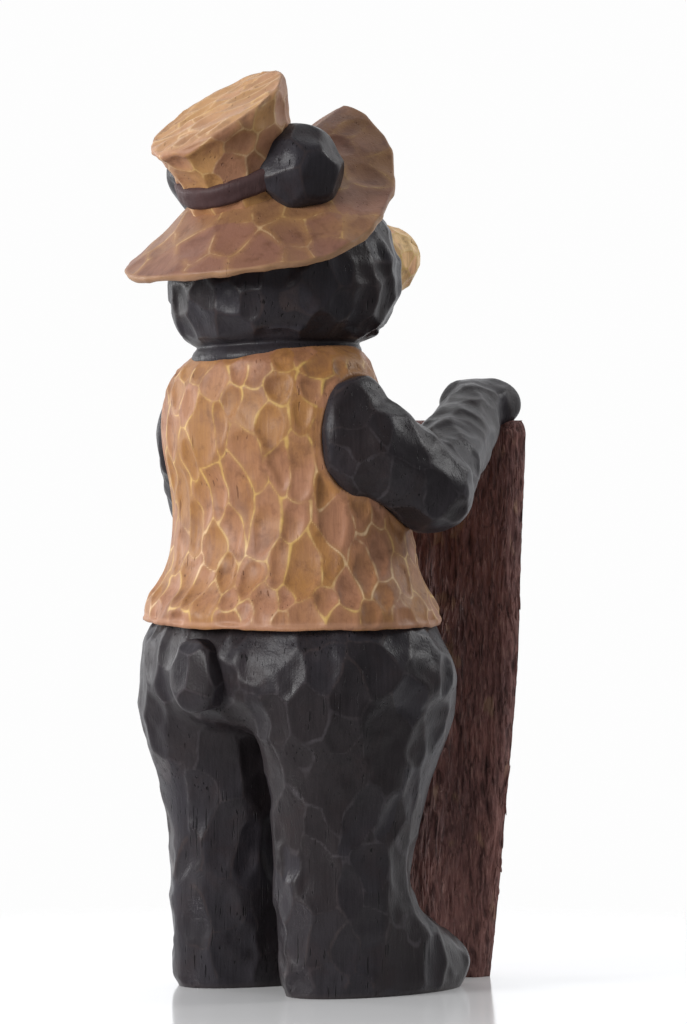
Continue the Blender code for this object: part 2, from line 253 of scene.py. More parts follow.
def readPoints(item):
    count = len(item.data.vertices)
    places = np.empty(count * 3)
    normals = np.empty(count * 3)
    item.data.vertices.foreach_get("co", places)
    item.data.vertices.foreach_get("normal", normals)
    return places.reshape(-1, 3), normals.reshape(-1, 3)


def writePoints(item, places):
    item.data.vertices.foreach_set("co", np.asarray(places, np.float32).ravel())
    item.data.update()


def writeValues(item, **values):
    # under each name, one number for all points or one for each
    for name, value in values.items():
        layer = item.data.attributes.new(name, "FLOAT", "POINT")
        layer.data.foreach_set("value", np.full(len(layer.data), value, np.float32))


def spread(item, values, times):
    # each value moves toward the mean of its neighbours
    mesh = item.data
    ends = np.empty(len(mesh.edges) * 2, np.int64)
    mesh.edges.foreach_get("vertices", ends)
    one, other = ends.reshape(-1, 2).T
    count = len(mesh.vertices)
    near = np.bincount(one, minlength=count) + np.bincount(other, minlength=count)
    values = np.array(values, float).reshape(count, -1)
    for _ in range(times):
        for column in range(values.shape[1]):
            old = values[:, column]
            total = np.bincount(one, old[other], count) + np.bincount(other, old[one], count)
            values[:, column] = (old + total / np.maximum(near, 1)) / 2
    return values


def fuse(name, forms, voxel, softening):
    # several closed forms become one skin
    vertices, faces, start = [], [], 0
    for points, sides in forms:
        vertices.append(points)
        faces += [[index + start for index in face] for face in sides]
        start += len(points)
    item = newObject(name, np.concatenate(vertices), faces)
    skin = item.modifiers.new("skin", "REMESH")
    skin.mode = "VOXEL"
    skin.voxel_size = voxel
    graph = bpy.context.evaluated_depsgraph_get()
    mesh = bpy.data.meshes.new_from_object(item.evaluated_get(graph))
    old = item.data
    item.modifiers.clear()
    item.data = mesh
    bpy.data.meshes.remove(old)
    mesh.shade_smooth()
    writePoints(item, spread(item, readPoints(item)[0], softening))
    return item


# What a piece's own cuts leave unsaid; lengths in metres, turn in degrees
plainCut = {"grain": (0.01, 0.02, 1.0), "tries": 9000, "turn": 20, "uneven": 0.2, "bowlUneven": 0.35,
            "taper": 0.0, "soft": 0.0004, "lean": 0.0, "power": 1.0, "wander": 0.0020, "rise": 0.004}
ridgeReach = 30.0  # mm, past which a point has no ridge near it
blockSize = 4000  # points worked on at a time


def knifeCuts(points, normals, cut):
    # scoops laid side by side; where two meet, the knife leaves a ridge
    cut = {**plainCut, **cut}
    chance = np.random.default_rng(cut["seed"])
    grain = np.asarray(cut["grain"], float)
    order = chance.permutation(len(points))[:cut["tries"]]
    tried, facing = points[order], normals[order]
    lengthways = grain - facing * (facing @ grain)[:, None]
    lengthways /= np.maximum(np.linalg.norm(lengthways, axis=1, keepdims=True), 1e-6)
    sideways = np.cross(lengthways, facing)
    turn = np.radians(cut["turn"]) * (chance.random(len(order)) * 2 - 1)
    cos, sin = np.cos(turn)[:, None], np.sin(turn)[:, None]
    lengthways, sideways = lengthways * cos + sideways * sin, sideways * cos - lengthways * sin
    size = 1 + cut["uneven"] * (chance.random(len(order)) * 2 - 1)
    across = (cut["across"](tried) if callable(cut["across"]) else cut["across"]) * size
    along = (cut["along"](tried) if callable(cut["along"]) else cut["along"]) * size
    taken = [0]
    for i in range(1, len(order)):
        apart = tried[taken] - tried[i]
        reach = (apart @ sideways[i] / across[i]) ** 2 + (apart @ lengthways[i] / along[i]) ** 2
        reach += (apart @ facing[i] / across[i]) ** 2
        if not ((reach < 1) & (facing[taken] @ facing[i] > 0.2)).any():
            taken.append(i)
    centre, outward = tried[taken], facing[taken]
    sideways, lengthways = sideways[taken], lengthways[taken]
    halfAcross, halfAlong = across[taken] / 2, along[taken] / 2
    depth = cut["depth"] * (0.5 + chance.random(len(taken)))
    tone = chance.random(len(taken))
    bowl = cut["bowl"] * (1 + cut["bowlUneven"] * (chance.random(len(taken)) * 2 - 1))
    taper, flat, soft, lean, power = (cut[name] for name in ("taper", "flat", "soft", "lean", "power"))
    wander = np.stack([softNoise(points, 0.016, cut["seed"] + step) for step in (1, 2, 3)], -1)
    bent = points + cut["wander"] * wander
    height, ridge, shade = np.empty(len(points)), np.empty(len(points)), np.empty(len(points))
    for start in range(0, len(points), blockSize):
        part = slice(start, start + blockSize)
        p, n = bent[part], normals[part]
        x = (p @ sideways.T - (centre * sideways).sum(1)) / halfAcross
        y = (p @ lengthways.T - (centre * lengthways).sum(1)) / halfAlong
        z = p @ outward.T - (centre * outward).sum(1)
        x = x * (1 - taper * np.clip(y, -1.3, 1.3))
        reach = x**2 + y**2 + 1e-6
        h = -depth * (1 + lean * np.clip(y, -1.2, 1.2)) + bowl * reach**power
        h = h + flat * np.clip(-z, -0.0005, 0.03)
        h[n @ outward.T < 0.25] += 1.0
        pair = np.argpartition(h, 1, axis=1)[:, :2]
        row = np.arange(len(p))
        swap = h[row, pair[:, 0]] > h[row, pair[:, 1]]
        pair[swap] = pair[swap][:, ::-1]
        slopes = []
        for place in (0, 1):
            k = pair[:, place]
            side = (x[row, k] / halfAcross[k])[:, None] * sideways[k]
            side = side + (y[row, k] / halfAlong[k])[:, None] * lengthways[k]
            steep = 2 * power * bowl[k] * reach[row, k] ** (power - 1)
            slopes.append(steep[:, None] * side - flat * outward[k])
        slope = slopes[1] - slopes[0]
        slope -= n * (slope * n).sum(1)[:, None]
        low = h[row, pair[:, 0]]
        gap = h[row, pair[:, 1]] - low
        height[part] = low - np.maximum(soft - gap, 0) ** 2 / (4 * soft)
        ridge[part] = gap / np.maximum(np.linalg.norm(slope, axis=1), 0.03)
        shade[part] = tone[pair[:, 0]]
    return np.minimum(height, cut["rise"]), np.clip(ridge, 0, ridgeReach / 1000) * 1000, shade


def carve(item, cut, keep=None, plain=0.0, zone=None):
    # cuts the whole surface, or the part of it in the zone
    points, normals = readPoints(item)
    zone = np.ones(len(points), bool) if zone is None else zone
    height = np.zeros(len(points))
    ridge = np.full(len(points), ridgeReach)
    shade = np.full(len(points), 0.5)
    height[zone], ridge[zone], shade[zone] = knifeCuts(points[zone], normals[zone], cut)
    if keep is not None:
        height[zone] = (height * keep + plain * (1 - keep))[zone]
        ridge[zone] = np.maximum(ridge, ridgeReach * (1 - keep) ** 2)[zone]
    height = spread(item, height, 1)[:, 0]
    ridge = spread(item, ridge, 1)[:, 0]
    return points, normals, height, ridge, shade


def place(item, slot, node, material):
    # into the row's frame, with its finish, on the body
    writePoints(item, readPoints(item)[0] + axisShift)
    item.data.materials.clear()
    item.data.materials.append(material)
    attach(item, "root")
    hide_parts(node)
    triangles = sum(len(face.vertices) - 2 for face in item.data.polygons)
    print(item.name, triangles, "triangles")


def carvePlain(item, cut, material):
    # a piece that is cut all over alike
    points, normals, height, ridge, shade = carve(item, cut)
    writePoints(item, points + normals * height[:, None])
    writeValues(item, ridge=ridge, shade=shade, rim=0.0)
    place(item, "bear", "bear", material)


def armDistance(points):
    # how far points are from the skin of the nearer arm, less than nothing inside it
    nearest = np.full(len(points), 1.0)
    for arm in armJoints.values():
        p = (points - arm["shoulder"]) / arm["shoulderRadii"]
        out = np.linalg.norm(p, axis=1)
        cap = out * (out - 1) / np.maximum(np.linalg.norm(p / arm["shoulderRadii"], axis=1), 1e-9)
        line = arm["elbow"] - arm["shoulder"]
        t = np.clip((points - arm["shoulder"]) @ line / (line @ line), arm["begins"], 1)
        radius = arm["upper"][0] + (arm["upper"][1] - arm["upper"][0]) * t
        limb = np.linalg.norm(points - arm["shoulder"] - t[:, None] * line, axis=1) - radius
        nearest = np.minimum(nearest, np.minimum(cap, limb))
    return nearest


def collarLean(points):
    # the collar sits higher at the front and on the right
    return 0.05 * points[:, 0] + 0.03 * (points[:, 1] - 0.03)


# Finishes

def paint(red, green, blue):
    # a colour as it is read off a picture, 0 to 255
    linear = [c / 255 / 12.92 if c / 255 <= 0.04045 else ((c / 255 + 0.055) / 1.055) ** 2.4
              for c in (red, green, blue)]
    return (*linear, 1.0)


class Wire:
    # the output of a node, written into sums as a number is
    def __init__(self, finish, socket):
        self.finish = finish
        self.socket = socket

    def sum(self, operation, first, second):
        return self.finish.node("ShaderNodeMath", {"operation": operation}, {0: first, 1: second})

    def __add__(self, other):
        return self.sum("ADD", self, other)

    def __radd__(self, other):
        return self.sum("ADD", other, self)

    def __sub__(self, other):
        return self.sum("SUBTRACT", self, other)

    def __rsub__(self, other):
        return self.sum("SUBTRACT", other, self)

    def __mul__(self, other):
        return self.sum("MULTIPLY", self, other)

    def __rmul__(self, other):
        return self.sum("MULTIPLY", other, self)


class Nodes:
    # makes the nodes of one tree
    def __init__(self, tree):
        self.tree = tree

    def node(self, kind, settings=None, inputs=None, output=0):
        made = self.tree.nodes.new(kind)
        for key, value in (settings or {}).items():
            setattr(made, key, value)
        for key, value in (inputs or {}).items():
            if isinstance(value, Wire):
                self.tree.links.new(value.socket, made.inputs[key])
            else:
                made.inputs[key].default_value = value
        return Wire(self, made.outputs[output])

    def object(self):
        return self.node("ShaderNodeTexCoord", output="Object")

    def value(self, name):
        return self.node("ShaderNodeAttribute", {"attribute_name": name}, output="Fac")

    def mapped(self, scale, move=(0, 0, 0)):
        return self.node("ShaderNodeMapping", None,
                         {"Vector": self.object(), "Scale": scale, "Location": move})

    def noise(self, vector, scale, detail=2.0, rough=0.5, distortion=0.0):
        return self.node("ShaderNodeTexNoise", {"noise_dimensions": "3D"},
                         {"Vector": vector, "Scale": scale, "Detail": detail, "Roughness": rough,
                          "Distortion": distortion})

    def between(self, value, low, high):
        return self.node("ShaderNodeMapRange", {"interpolation_type": "SMOOTHSTEP"},
                         {"Value": value, "From Min": low, "From Max": high})

    def mix(self, amount, first, second):
        made = self.node("ShaderNodeMix", {"data_type": "RGBA"}, {0: amount}, 2)
        for key, value in ((6, first), (7, second)):
            if isinstance(value, Wire):
                self.tree.links.new(value.socket, made.socket.node.inputs[key])
            else:
                made.socket.node.inputs[key].default_value = value
        return made

    def bump(self, height, strength, distance):
        return self.node("ShaderNodeBump", None,
                         {"Height": height, "Strength": strength, "Distance": distance})


class Finish(Nodes):
    # a material, with its constants set on the shader's own sockets
    def __init__(self, name, **constants):
        self.material = bpy.data.materials.new(name)
        self.material.use_nodes = True
        super().__init__(self.material.node_tree)
        self.shader = self.tree.nodes["Principled BSDF"]
        for key, value in constants.items():
            self.shader.inputs[key.replace("_", " ")].default_value = value

    def drive(self, name, wire):
        self.tree.links.new(wire.socket, self.shader.inputs[name])


paintScales = {"fine": 420.0, "grain": 300.0, "wander": 38.0, "crackPlace": 21.0}  # cycles a metre


def carvedFinish(name, look):
    # paint over knife cuts: tones that change from cut to cut, ridges made lighter as rubbed paint and
    # painted highlight, and fine upright cracks
    made = Finish(name, Metallic=0.0, Specular_IOR_Level=look["gloss"])
    spot = made.object()
    broad = made.noise(spot, look["broadScale"], 3.0, 0.55)
    cloud = made.noise(spot, look["cloudScale"], 4.0, 0.6, 0.4)
    fine = made.noise(spot, paintScales["fine"], 3.0, 0.6)
    grain = made.noise(made.mapped(look["grainStretch"]), paintScales["grain"], 3.0, 0.65)
    shade = made.value("shade")
    ridge = made.value("ridge")
    tone = made.between(shade * look["byCut"] + broad * (1 - look["byCut"]), *look["toneEdges"])
    colour = made.mix(tone, look["first"], look["second"])
    patch = made.between(cloud, 0.46, 0.72)
    colour = made.mix(patch * look["patchAmount"], colour, look["patch"])
    deep = made.between(made.noise(spot, look["deepScale"], 3.0, 0.6), 0.50, 0.78)
    colour = made.mix(deep * look["deepAmount"], colour, look["deep"])
    streak = made.between(grain, 0.35, 0.75)
    colour = made.mix(streak * look["grainAmount"], colour, look["grainColour"])
    wander = made.noise(spot, paintScales["wander"], 3.0, 0.6)
    # lighter near each ridge and a thin pale line on it: rubbed paint together with painted highlight on
    # the ridges, leaving the hollows darker as painted shade
    halo = (1 - made.between(ridge, 0.0, look["haloWidth"])) * made.between(wander, 0.36, 0.6)
    colour = made.mix(halo * look["haloAmount"], colour, look["halo"])
    line = 1 - made.between(ridge, 0.4, look["lineWidth"])
    line = line * made.between(wander, look["lineFrom"], look["lineTo"])
    lineColour = made.mix(made.between(broad, 0.42, 0.58), look["line"], look["lineOther"])
    colour = made.mix(line * look["lineAmount"], colour, lineColour)
    crack = made.noise(made.mapped(look["crackStretch"], (3.1, 1.7, 0.4)), look["crackScale"], 1.0, 0.5)
    where = made.between(made.noise(spot, paintScales["crackPlace"], 2.0, 0.5), 0.42, 0.60)
    cracked = made.between(crack, look["crackEdge"], look["crackEdge"] + 0.06) * where
    colour = made.mix(cracked * look["crackAmount"], colour, look["crack"])
    # paler where a piece marks it: worn paint at the legs' foot, a paler band on the vest's hem and arm
    # edges, and painted highlight on the crown's top and rim and round the brim's edge
    colour = made.mix(made.value("rim") * look["rimAmount"], colour, look["rim"])
    made.drive("Base Color", colour)
    made.drive("Roughness", look["rough"] + (cloud - 0.5) * 0.25 + cracked * 0.2 - line * 0.06)
    relief = grain * look["grainBump"] + fine * look["fineBump"] + cloud * 0.5 - cracked * look["crackBump"]
    made.drive("Normal", made.bump(relief, 1.0, look["bumpDistance"]))
    return made.material


# Scales in cycles a metre, widths from a ridge in mm
tanLook = {
    "gloss": 0.35,
    "rough": 0.50,
    "broadScale": 9.0,
    "cloudScale": 30.0,
    "deepScale": 80.0,
    "byCut": 0.25,
    "toneEdges": (0.40, 0.64),
    "first": paint(172, 122, 92),
    "second": paint(166, 117, 66),
    "patch": paint(134, 90, 60),
    "patchAmount": 0.75,
    "deep": paint(104, 66, 44),
    "deepAmount": 0.5,
    "grainStretch": (1.0, 1.0, 0.06),
    "grainAmount": 0.3,
    "grainColour": paint(122, 82, 64),
    "grainBump": 0.45,
    "fineBump": 0.25,
    "haloWidth": 5.0,
    "haloAmount": 0.35,
    "halo": paint(188, 144, 88),
    "lineWidth": 1.6,
    "lineFrom": 0.32,
    "lineTo": 0.62,
    "lineAmount": 0.85,
    "line": paint(232, 200, 158),
    "lineOther": paint(214, 176, 100),
    "crackStretch": (1.0, 1.0, 0.035),
    "crackScale": 300.0,
    "crackEdge": 0.69,
    "crackAmount": 0.5,
    "crack": paint(96, 60, 46),
    "crackBump": 1.0,
    "rim": paint(186, 140, 112),
    "rimAmount": 0.5,
    "bumpDistance": 0.0007,
}
blackLook = {
    "gloss": 0.17,
    "rough": 0.36,
    "broadScale": 5.0,
    "cloudScale": 22.0,
    "deepScale": 14.0,
    "byCut": 0.25,
    "toneEdges": (0.36, 0.66),
    "first": paint(45, 40, 42),
    "second": paint(53, 50, 55),
    "patch": paint(50, 38, 38),
    "patchAmount": 0.45,
    "deep": paint(28, 25, 27),
    "deepAmount": 0.5,
    "grainStretch": (1.0, 1.0, 0.05),
    "grainAmount": 0.3,
    "grainColour": paint(18, 16, 17),
    "grainBump": 0.35,
    "fineBump": 0.3,
    "haloWidth": 4.0,
    "haloAmount": 0.15,
    "halo": paint(50, 44, 44),
    "lineWidth": 2.0,
    "lineFrom": 0.22,
    "lineTo": 0.66,
    "lineAmount": 0.5,
    "line": paint(84, 79, 83),
    "lineOther": paint(74, 62, 60),
    "crackStretch": (1.0, 1.0, 0.035),
    "crackScale": 440.0,
    "crackEdge": 0.66,
    "crackAmount": 0.8,
    "crack": paint(9, 8, 9),
    "crackBump": 1.2,
    "rim": paint(110, 98, 94),
    "rimAmount": 0.25,
    "bumpDistance": 0.0008,
}
tanWood = carvedFinish("tanCarvedPaint", tanLook)
blackWood = carvedFinish("blackCarvedPaint", blackLook)
hatTan = carvedFinish("hatCarvedPaint", {
    **tanLook, "first": paint(140, 98, 80), "second": paint(150, 110, 76), "toneEdges": (0.40, 0.66),
    "patch": paint(116, 78, 64), "lineAmount": 0.6, "lineFrom": 0.40, "lineTo": 0.66, "haloAmount": 0.3,
    "haloWidth": 8.0, "grainAmount": 0.12, "crackAmount": 0.3, "deepAmount": 0.55,
    "rim": paint(190, 150, 108),
})
# a paler copy of the hat's tan: painted light on the crown's wall, which faces down, and a painted
# highlight colour for its top and rim
crownTanWithPaintedLight = carvedFinish("crownPaintWithPaintedLight", {
    **tanLook, "first": paint(176, 128, 98), "second": paint(184, 138, 86), "patch": paint(146, 100, 70),
    "lineAmount": 0.7, "haloWidth": 7.0, "grainAmount": 0.15, "rim": paint(206, 168, 132),
    "rimAmount": 0.45,
})
# the muzzle's own ochre made far paler than its paint, with bright ridge lines: painted light for the
# highlights on the muzzle
muzzleOchreWithPaintedLight = carvedFinish("muzzleOchrePaintedLight", {
    **tanLook, "first": paint(246, 190, 138), "second": paint(246, 206, 140), "patch": paint(210, 146, 108),
    "patchAmount": 0.5, "line": paint(255, 232, 190), "lineWidth": 2.2, "lineAmount": 1.0, "lineFrom": 0.2,
    "lineTo": 0.5, "crackAmount": 0.5,
})
bandBrown = carvedFinish("bandBrownPaint", {
    **blackLook, "first": paint(76, 56, 56), "second": paint(84, 64, 64), "patch": paint(64, 46, 48),
    "deep": paint(54, 40, 42), "grainColour": paint(56, 42, 44), "line": paint(120, 96, 92), "rough": 0.52,
})
print("finishes made")


# Legs, feet and hips

legCuts = {"seed": 21, "across": 0.036, "along": 0.062, "turn": 22, "uneven": 0.32, "depth": 0.0017,
           "bowl": 0.0018, "bowlUneven": 0.45, "taper": 0.12, "flat": 0.45, "rise": 0.0030, "soft": 0.0007,
           "wander": 0.0040, "power": 1.2, "lean": 0.25}
legSizes = {"forkLow": (0.20, 0.25), "forkHigh": (0.29, 0.34), "forkSide": (0.05, 0.09),
            "forkSoftening": 90, "solePress": 0.003}
voxel = 0.0028  # the mesh of the fused skins


def makeLegs():
    forms = [loft(uprightForm(hipsSections), 60, 160)]
    for side in (-1, 1):
        forms.append(loft(uprightForm(legSections, side), 120, 110))
    item = fuse("bearLegs", forms, voxel, 8)
    points = readPoints(item)[0]
    fork = fadeBetween(points[:, 2], *legSizes["forkLow"])
    fork *= 1 - fadeBetween(points[:, 2], *legSizes["forkHigh"])
    fork *= 1 - fadeBetween(np.abs(points[:, 0]), *legSizes["forkSide"])
    softer = spread(item, points, legSizes["forkSoftening"])
    writePoints(item, points + (softer - points) * fork[:, None])
    foot = fadeBetween(readPoints(item)[0][:, 2], 0.002, 0.012)
    points, normals, height, ridge, shade = carve(item, legCuts, keep=foot, plain=-0.0005)
    moved = points + normals * height[:, None]
    press = legSizes["solePress"]
    moved[:, 2] = np.maximum(moved[:, 2] - press * (1 - fadeBetween(moved[:, 2], 0.003, 0.012)), 0.0)
    writePoints(item, moved)
    writeValues(item, ridge=ridge, shade=shade, rim=fadeBetween(-moved[:, 2], -0.006, -0.001) * 0.5)
    place(item, "bear", "bear", blackWood)


makeLegs()


# Tail: a stub with a carved end

tailSizes = {"height": 316, "halfWidth": 29, "halfHeight": 34, "seat": 116, "end": 152,
             "profileDepth": 38, "profileRadius": 30}
tailProfile = [(0, 1.0), (20, 1.03), (28, 1.02), (33, 0.93), (36, 0.72), (37.5, 0.4), (38, 0.04)]
tailCuts = {"seed": 5, "across": 0.022, "along": 0.034, "turn": 50, "depth": 0.0006, "bowl": 0.0007,
            "flat": 0.45, "rise": 0.002, "tries": 3000}


def makeTail():
    fullDepth, fullRadius = tailSizes["profileDepth"], tailSizes["profileRadius"]
    track = evenlyAlong([(depth, radius * fullRadius) for depth, radius in tailProfile])

    def surface(along, angle):
        depth, radius = np.moveaxis(track(along), -1, 0)
        radius = radius / fullRadius
        y = tailSizes["seat"] + depth * (tailSizes["end"] - tailSizes["seat"]) / fullDepth
        x = -tailSizes["halfWidth"] * radius * np.cos(angle)
        z = tailSizes["height"] + tailSizes["halfHeight"] * radius * np.sin(angle)
        return np.stack([x, y, z], -1) * share

    carvePlain(newObject("bearTail", *loft(surface, 40, 120)), tailCuts, blackWood)


makeTail()
print("legs, hips and tail made")


# Vest: tan scoops, a thick hem, and a raised edge round each arm

vestSizes = {"hemThickness": 5.5, "hemInset": 13, "hemRise": 0.0045, "hemDroop": 0.0055, "rimRise": 0.0012,
             "collarRise": 0.0040, "collarInset": 12, "seamWidth": 0.0016, "seamDepth": 0.0018,
             "length": 300, "girth": 860}
vestCuts = {
    "seed": 8,
    "across": lambda p: 0.025 + 0.003 * np.sin(p[:, 2] * 60),
    "along": lambda p: (0.030 + 0.026 * fadeBetween(p[:, 2], 0.375, 0.43)
                        * (1 - fadeBetween(p[:, 2], 0.54, 0.60))),
    "turn": 14, "uneven": 0.30, "depth": 0.0021, "bowl": 0.0021, "bowlUneven": 0.4, "taper": 0.30,
    "flat": 0.12, "rise": 0.0010, "wander": 0.0028, "power": 1.5, "lean": 0.45,
}


def makeVest():
    step = 1.85  # mm from point to point
    wall = evenlyAlong(vestSections)(np.linspace(0, 1, int(vestSizes["length"] / step)))
    hemInset, collarInset = vestSizes["hemInset"], vestSizes["collarInset"]
    low = wall[0] - np.array([vestSizes["hemThickness"], 0, 0.5, 0.5])
    inner = low - np.array([-1.0, 0, hemInset, hemInset])
    edge = np.linspace(low, wall[0], 5)[:-1]
    under = np.linspace(inner, low, 8)[:-1]
    top = np.linspace(wall[-1], wall[-1] - np.array([-2.0, 0, collarInset, collarInset]), 6)[1:]
    table = np.concatenate([under, edge, wall, top])
    sides = int(vestSizes["girth"] / step)
    angle = roundTurns(sides)[None]
    height, back, halfWidth, halfDepth = (table[:, k, None] for k in range(4))
    x = (halfWidth * np.cos(angle)) * share
    y = (back + halfDepth * np.sin(angle)) * share
    z = np.broadcast_to(height * share, x.shape).copy()
    points = np.stack([x, y, z], -1).reshape(-1, 3)
    turn = np.arctan2(points[:, 1], points[:, 0])
    rightBack = fadeBetween(np.cos(turn - math.radians(135)), -0.1, 1)
    lift = vestSizes["hemRise"] - vestSizes["hemDroop"] * rightBack
    flat = points * np.array([1.0, 1.0, 0.0])
    lift += 0.0012 * softNoise(flat, 0.045, 3) + 0.0006 * softNoise(flat, 0.016, 4)
    points[:, 2] += lift * (1 - fadeBetween(points[:, 2], 0.366, 0.42))
    points[:, 2] += (vestSizes["collarRise"] - collarLean(points)) * fadeBetween(points[:, 2], 0.585, 0.625)
    item = newObject("bearVest", points, ringFaces(len(table) - 1, sides))
    points = readPoints(item)[0]
    row = np.repeat(np.arange(len(table)), sides)
    hemRow = len(under) + len(edge)
    border = armDistance(points)
    keep = fadeBetween(border, 0.0025, 0.009)
    keep *= fadeBetween(row, hemRow - 3, hemRow)
    keep *= 1 - 0.8 * fadeBetween(row, len(table) - 22, len(table) - 12)
    points, normals, height, ridge, shade = carve(item, vestCuts, keep, vestSizes["rimRise"])
    height[row < hemRow - 2] *= 0.4
    height += 0.0008 * softNoise(points, 0.010, 5) * (np.abs(row - hemRow + 2) < 4)
    height += 0.0006 * softNoise(points, 0.02, 9) * (row >= hemRow)
    sunk = fadeBetween(-border, 0.0, 0.0025)
    height = height * (1 - sunk) - 0.004 * sunk
    offSeam = (points[:, 0] - 0.002 * np.sin(points[:, 2] * 40)) / vestSizes["seamWidth"]
    height -= vestSizes["seamDepth"] * (np.exp(-offSeam**2) * (points[:, 1] < 0))
    writePoints(item, points + normals * height[:, None])
    hemEdge = 1 - fadeBetween(np.abs(row - (hemRow - 1.0)), 1.0, 2.5)
    armEdge = 1 - fadeBetween(border, 0.0008, 0.0032)
    writeValues(item, ridge=ridge, shade=shade, rim=np.maximum(hemEdge, armEdge * 0.6))
    place(item, "bear", "bear", tanWood)


makeVest()
print("vest made")


# Head, with the roll at its neck

headCuts = {"seed": 13, "wander": 0.0035, "power": 1.2, "across": 0.033, "along": 0.038, "turn": 40,
            "uneven": 0.35, "depth": 0.0022, "bowl": 0.0014, "flat": 0.8, "rise": 0.0028, "soft": 0.0005}
muzzleCuts = {"seed": 17, "across": 0.017, "along": 0.019, "turn": 60, "depth": 0.0008, "bowl": 0.0008,
              "flat": 0.7, "rise": 0.002, "tries": 5000, "grain": (0.02, -1, 0.1)}
muzzleSizes = {"lipHeight": 0.714, "mouthWidth": 0.0014, "lipWidth": 0.0013, "groove": 0.0022}
noseCuts = {"seed": 19, "across": 0.010, "along": 0.010, "depth": 0.0004, "bowl": 0.0002, "flat": 0.8,
            "rise": 0.001, "tries": 900}
noseSizes = {"centre": (0.0, -0.152, 0.745), "radii": (17, 10, 12)}
eyeSizes = {"apart": 0.038, "height": 0.762, "headRadius": 0.115, "radii": (0.009, 0.009, 0.0085)}
earCuts = {"across": 0.040, "along": 0.040, "turn": 80, "uneven": 0.3, "depth": 0.0026, "bowl": 0.0001,
           "flat": 0.95, "rise": 0.0018, "soft": 0.0003, "tries": 4000}
earSizes = {"apart": 0.060, "forward": 0.014, "rise": 0.001, "radius": 0.0445}


def makeHead():
    rows, sides = ((130, 330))
    item = newObject("bearHead", *loft(uprightForm(headSections), rows, sides))
    points = readPoints(item)[0]
    toRight = np.clip(-0.7 * points[:, 0] - 0.7 * (points[:, 1] - 0.03), 0, 1)
    tilt = (collarLean(points) + 0.05 * toRight) * (1 - fadeBetween(points[:, 2], 0.64, 0.69))
    points[:, 2] -= tilt
    writePoints(item, points)
    keep = fadeBetween(points[:, 2] + tilt, 0.642, 0.656)
    points, normals, height, ridge, shade = carve(item, headCuts, keep)
    height += 0.0008 * softNoise(points, 0.025, 4) * (1 - keep)
    writePoints(item, points + normals * height[:, None])
    writeValues(item, ridge=ridge, shade=shade, rim=0.0)
    place(item, "bear", "bear", blackWood)


def makeMuzzle():
    item = newObject("bearMuzzle", *loft(forwardForm(muzzleSections), 80, 180))
    points, normals, height, ridge, shade = carve(item, muzzleCuts)
    lipHeight = muzzleSizes["lipHeight"]
    front = fadeBetween(-points[:, 1], 0.118, 0.135)
    smile = lipHeight + 0.9 * points[:, 0] ** 2 / 0.03
    mouth = np.exp(-((points[:, 2] - smile) / muzzleSizes["mouthWidth"]) ** 2) * front
    lip = np.exp(-(points[:, 0] / muzzleSizes["lipWidth"]) ** 2) * front
    lip = lip * (points[:, 2] > lipHeight) * (points[:, 2] < 0.740)
    groove = muzzleSizes["groove"] * np.maximum(mouth, lip)
    writePoints(item, points + normals * (height - groove)[:, None])
    writeValues(item, ridge=ridge, shade=shade, rim=0.0)
    place(item, "bear", "bear", muzzleOchreWithPaintedLight)


def makeNoseAndEyes():
    nose = Finish("noseBlackGloss", Base_Color=paint(24, 22, 23), Specular_IOR_Level=0.5)
    spot = nose.object()
    nose.drive("Roughness", 0.22 + nose.noise(spot, 60.0) * 0.25)
    nose.drive("Normal", nose.bump(nose.noise(spot, 320.0, 3.0), 0.5, 0.0006))
    surface = ballForm(np.array(noseSizes["centre"]), np.array(noseSizes["radii"]) * share)
    item = newObject("bearNose", *loft(surface, 30, 48))
    points, normals, height = carve(item, noseCuts)[:3]
    writePoints(item, points + normals * height[:, None])
    place(item, "bear", "bear", nose.material)
    apart, eyeHeight = eyeSizes["apart"], eyeSizes["height"]
    depth = math.sqrt(eyeSizes["headRadius"]**2 - apart**2 - (eyeHeight - headCentre[2]) ** 2)
    for label, side in bothSides:
        surface = ballForm(np.array([apart * side, headCentre[1] - depth, eyeHeight]), eyeSizes["radii"])
        place(newObject("bearEye" + label, *loft(surface, 20, 32)), "bear", "bear", nose.material)


def makeEars():
    for label, side in bothSides:
        centre = hatSeat + hatLeft * earSizes["apart"] * side - hatBack * earSizes["forward"]
        centre = centre + hatAxis * earSizes["rise"]
        item = newObject("bearEar" + label, *loft(ballForm(centre, [earSizes["radius"]] * 3), 70, 120))
        carvePlain(item, {**earCuts, "seed": 31 + side}, blackWood)


makeHead()
makeMuzzle()
makeNoseAndEyes()
makeEars()
print("head made")


# Hat: crown, band and brim

crownCuts = {"seed": 41, "across": 0.030, "along": 0.036, "turn": 60, "uneven": 0.35, "depth": 0.0018,
             "bowl": 0.0018, "bowlUneven": 0.5, "taper": 0.2, "flat": 0.4, "rise": 0.0018, "tries": 5000}
crownTopCuts = {"seed": 43, "across": 0.016, "along": 0.060, "turn": 22, "uneven": 0.4, "depth": 0.0022,
                "bowl": 0.0026, "bowlUneven": 0.5, "flat": 0.1, "rise": 0.0022, "grain": (-0.75, -0.6, 0.2),
                "tries": 5000}
brimCuts = {"seed": 44, "across": 0.040, "along": 0.050, "turn": 80, "uneven": 0.35, "depth": 0.0012,
            "bowl": 0.0013, "bowlUneven": 0.5, "taper": 0.2, "flat": 0.1, "rise": 0.0010, "soft": 0.0006}
crownSizes = {"toLeft": 0.0021, "toBack": 0.0024, "topRise": 0.077, "topRadius": 0.073, "dome": 0.0030,
              "slopeFrom": 0.076, "slopeLeft": 0.14, "slopeBack": 0.09}
brimSizes = {"innerRadius": 0.050, "thickness": 0.009, "edgeRows": 7, "edgeBulge": 0.0016, "curl": 0.85}


